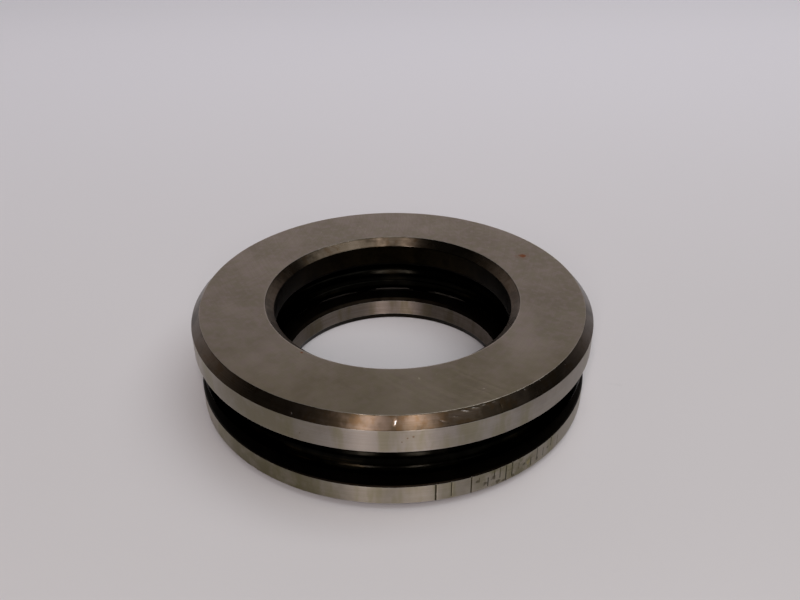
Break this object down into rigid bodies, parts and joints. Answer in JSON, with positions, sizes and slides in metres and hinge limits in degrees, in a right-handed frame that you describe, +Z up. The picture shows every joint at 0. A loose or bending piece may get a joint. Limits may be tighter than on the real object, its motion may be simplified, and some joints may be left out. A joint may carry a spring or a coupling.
{
  "type": "thrust ball bearing",
  "caption": "Thrust ball bearing with grooved steel washers, a ring of balls and a black pressed-steel cage, lying flat.",
  "frame": {"origin": "centre of the shaft washer's back face, on the surface it lies on", "axes": "+Z up along the axis of rotation, from the shaft washer to the housing washer; +X through the centre of ball_01"},
  "size_m": [0.062, 0.062, 0.0156],
  "materials": {
    "washer_steel": "ground faces and diameters, dark unground chamfers",
    "cage_steel": "glossy black oxide, oiled",
    "ball_steel": "polished"
  },
  "bodies": {
    "shaft_washer": {"shaft_washer": "washer_steel"},
    "housing_washer": {"housing_washer": "washer_steel"},
    "cage": {"cage_upper_half": "cage_steel", "cage_lower_half": "cage_steel"},
    "ball_01": {"ball_01": "ball_steel"},
    "ball_02": {"ball_02": "ball_steel"},
    "ball_03": {"ball_03": "ball_steel"},
    "ball_04": {"ball_04": "ball_steel"},
    "ball_05": {"ball_05": "ball_steel"},
    "ball_06": {"ball_06": "ball_steel"},
    "ball_07": {"ball_07": "ball_steel"},
    "ball_08": {"ball_08": "ball_steel"},
    "ball_09": {"ball_09": "ball_steel"},
    "ball_10": {"ball_10": "ball_steel"},
    "ball_11": {"ball_11": "ball_steel"},
    "ball_12": {"ball_12": "ball_steel"},
    "ball_13": {"ball_13": "ball_steel"},
    "ball_14": {"ball_14": "ball_steel"}
  },
  "joints": [
    {"name": "housing_washer_spin", "type": "hinge", "parent": "shaft_washer", "child": "housing_washer", "pos_m": [0, 0, 0.01302], "axis": [0, 0, 1], "continuous": true},
    {"name": "cage_spin", "type": "hinge", "parent": "shaft_washer", "child": "cage", "pos_m": [0, 0, 0.00732], "axis": [0, 0, 1], "continuous": true},
    {"name": "ball_01_roll", "type": "hinge", "parent": "cage", "child": "ball_01", "pos_m": [0.0245, 0, 0.00732], "axis": [1, 0, 0], "continuous": true},
    {"name": "ball_02_roll", "type": "hinge", "parent": "cage", "child": "ball_02", "pos_m": [0.02207, 0.01063, 0.00732], "axis": [0.901, 0.4339, 0], "continuous": true},
    {"name": "ball_03_roll", "type": "hinge", "parent": "cage", "child": "ball_03", "pos_m": [0.01528, 0.01915, 0.00732], "axis": [0.6235, 0.7818, 0], "continuous": true},
    {"name": "ball_04_roll", "type": "hinge", "parent": "cage", "child": "ball_04", "pos_m": [0.00545, 0.02389, 0.00732], "axis": [0.2225, 0.9749, 0], "continuous": true},
    {"name": "ball_05_roll", "type": "hinge", "parent": "cage", "child": "ball_05", "pos_m": [-0.00545, 0.02389, 0.00732], "axis": [-0.2225, 0.9749, 0], "continuous": true},
    {"name": "ball_06_roll", "type": "hinge", "parent": "cage", "child": "ball_06", "pos_m": [-0.01528, 0.01915, 0.00732], "axis": [-0.6235, 0.7818, 0], "continuous": true},
    {"name": "ball_07_roll", "type": "hinge", "parent": "cage", "child": "ball_07", "pos_m": [-0.02207, 0.01063, 0.00732], "axis": [-0.901, 0.4339, 0], "continuous": true},
    {"name": "ball_08_roll", "type": "hinge", "parent": "cage", "child": "ball_08", "pos_m": [-0.0245, 0, 0.00732], "axis": [-1, 0, 0], "continuous": true},
    {"name": "ball_09_roll", "type": "hinge", "parent": "cage", "child": "ball_09", "pos_m": [-0.02207, -0.01063, 0.00732], "axis": [-0.901, -0.4339, 0], "continuous": true},
    {"name": "ball_10_roll", "type": "hinge", "parent": "cage", "child": "ball_10", "pos_m": [-0.01528, -0.01915, 0.00732], "axis": [-0.6235, -0.7818, 0], "continuous": true},
    {"name": "ball_11_roll", "type": "hinge", "parent": "cage", "child": "ball_11", "pos_m": [-0.00545, -0.02389, 0.00732], "axis": [-0.2225, -0.9749, 0], "continuous": true},
    {"name": "ball_12_roll", "type": "hinge", "parent": "cage", "child": "ball_12", "pos_m": [0.00545, -0.02389, 0.00732], "axis": [0.2225, -0.9749, 0], "continuous": true},
    {"name": "ball_13_roll", "type": "hinge", "parent": "cage", "child": "ball_13", "pos_m": [0.01528, -0.01915, 0.00732], "axis": [0.6235, -0.7818, 0], "continuous": true},
    {"name": "ball_14_roll", "type": "hinge", "parent": "cage", "child": "ball_14", "pos_m": [0.02207, -0.01063, 0.00732], "axis": [0.901, -0.4339, 0], "continuous": true}
  ],
  "couplings": [
    {"joint": "cage_spin", "follows": "housing_washer_spin", "ratio": 0.5},
    {"joint": "ball_01_roll", "follows": "housing_washer_spin", "ratio": -2.5722},
    {"joint": "ball_02_roll", "follows": "housing_washer_spin", "ratio": -2.5722},
    {"joint": "ball_03_roll", "follows": "housing_washer_spin", "ratio": -2.5722},
    {"joint": "ball_04_roll", "follows": "housing_washer_spin", "ratio": -2.5722},
    {"joint": "ball_05_roll", "follows": "housing_washer_spin", "ratio": -2.5722},
    {"joint": "ball_06_roll", "follows": "housing_washer_spin", "ratio": -2.5722},
    {"joint": "ball_07_roll", "follows": "housing_washer_spin", "ratio": -2.5722},
    {"joint": "ball_08_roll", "follows": "housing_washer_spin", "ratio": -2.5722},
    {"joint": "ball_09_roll", "follows": "housing_washer_spin", "ratio": -2.5722},
    {"joint": "ball_10_roll", "follows": "housing_washer_spin", "ratio": -2.5722},
    {"joint": "ball_11_roll", "follows": "housing_washer_spin", "ratio": -2.5722},
    {"joint": "ball_12_roll", "follows": "housing_washer_spin", "ratio": -2.5722},
    {"joint": "ball_13_roll", "follows": "housing_washer_spin", "ratio": -2.5722},
    {"joint": "ball_14_roll", "follows": "housing_washer_spin", "ratio": -2.5722}
  ]
}
